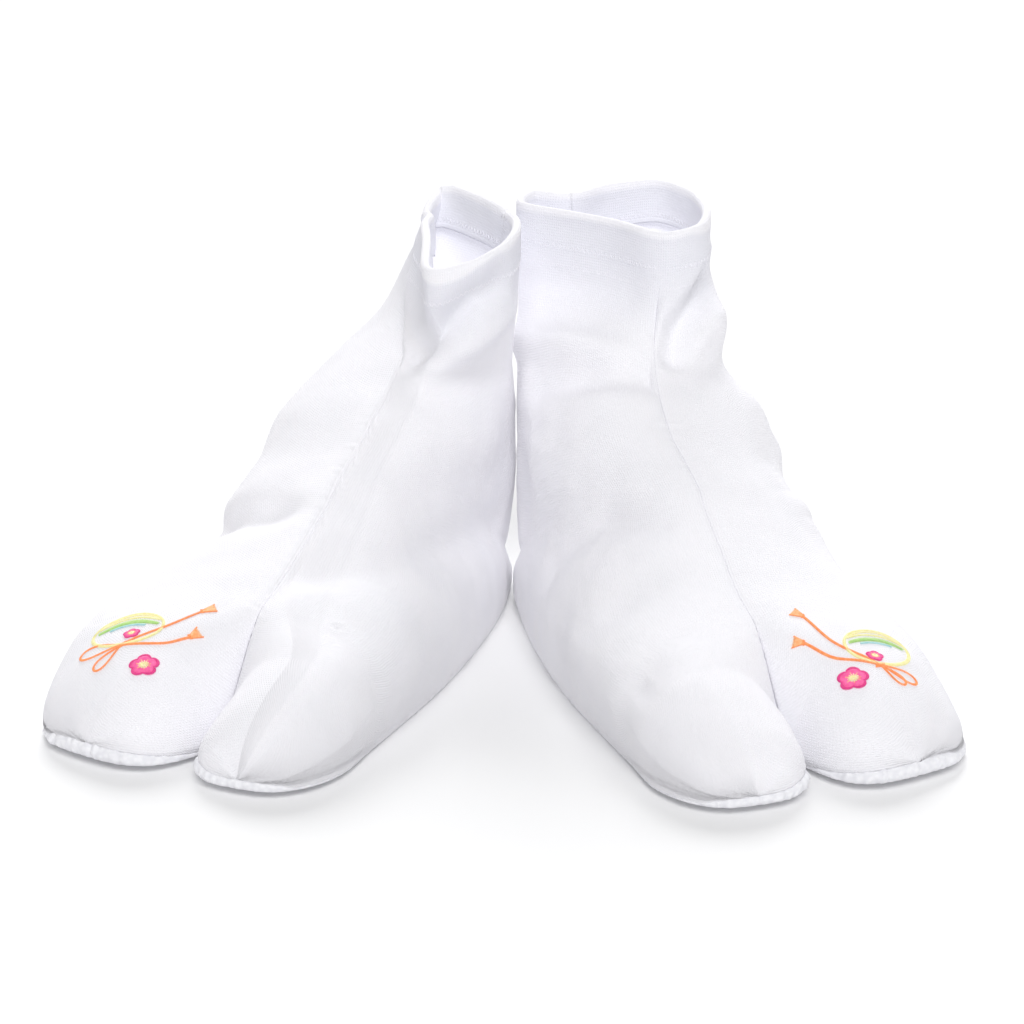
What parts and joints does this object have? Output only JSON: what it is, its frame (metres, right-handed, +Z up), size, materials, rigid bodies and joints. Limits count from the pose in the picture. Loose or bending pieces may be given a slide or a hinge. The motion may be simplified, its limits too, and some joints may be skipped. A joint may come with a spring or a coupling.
{
  "type": "pair of tabi socks",
  "caption": "Pair of split-toe ankle socks, hollow and filled out as if worn, toes turned apart, with an open cuff, a seam down the front and a flat sole.",
  "frame": {"origin": "centre of the bounding box, at the floor", "axes": "+Z up, toes point to -Y and outwards, +X towards the wearer's left sock"},
  "size_m": [0.2996, 0.2528, 0.1481],
  "materials": {
    "knit": "matt white stretch knit, fine cross courses",
    "sole_knit": "thicker white pebbly knit"
  },
  "bodies": {
    "root": {"right_sock.big_toe_panel": "knit", "right_sock.four_toe_panel": "knit", "right_sock.cuff_hem": "knit", "right_sock.sole": "sole_knit", "left_sock.big_toe_panel": "knit", "left_sock.four_toe_panel": "knit", "left_sock.cuff_hem": "knit", "left_sock.sole": "sole_knit"}
  },
  "joints": []
}
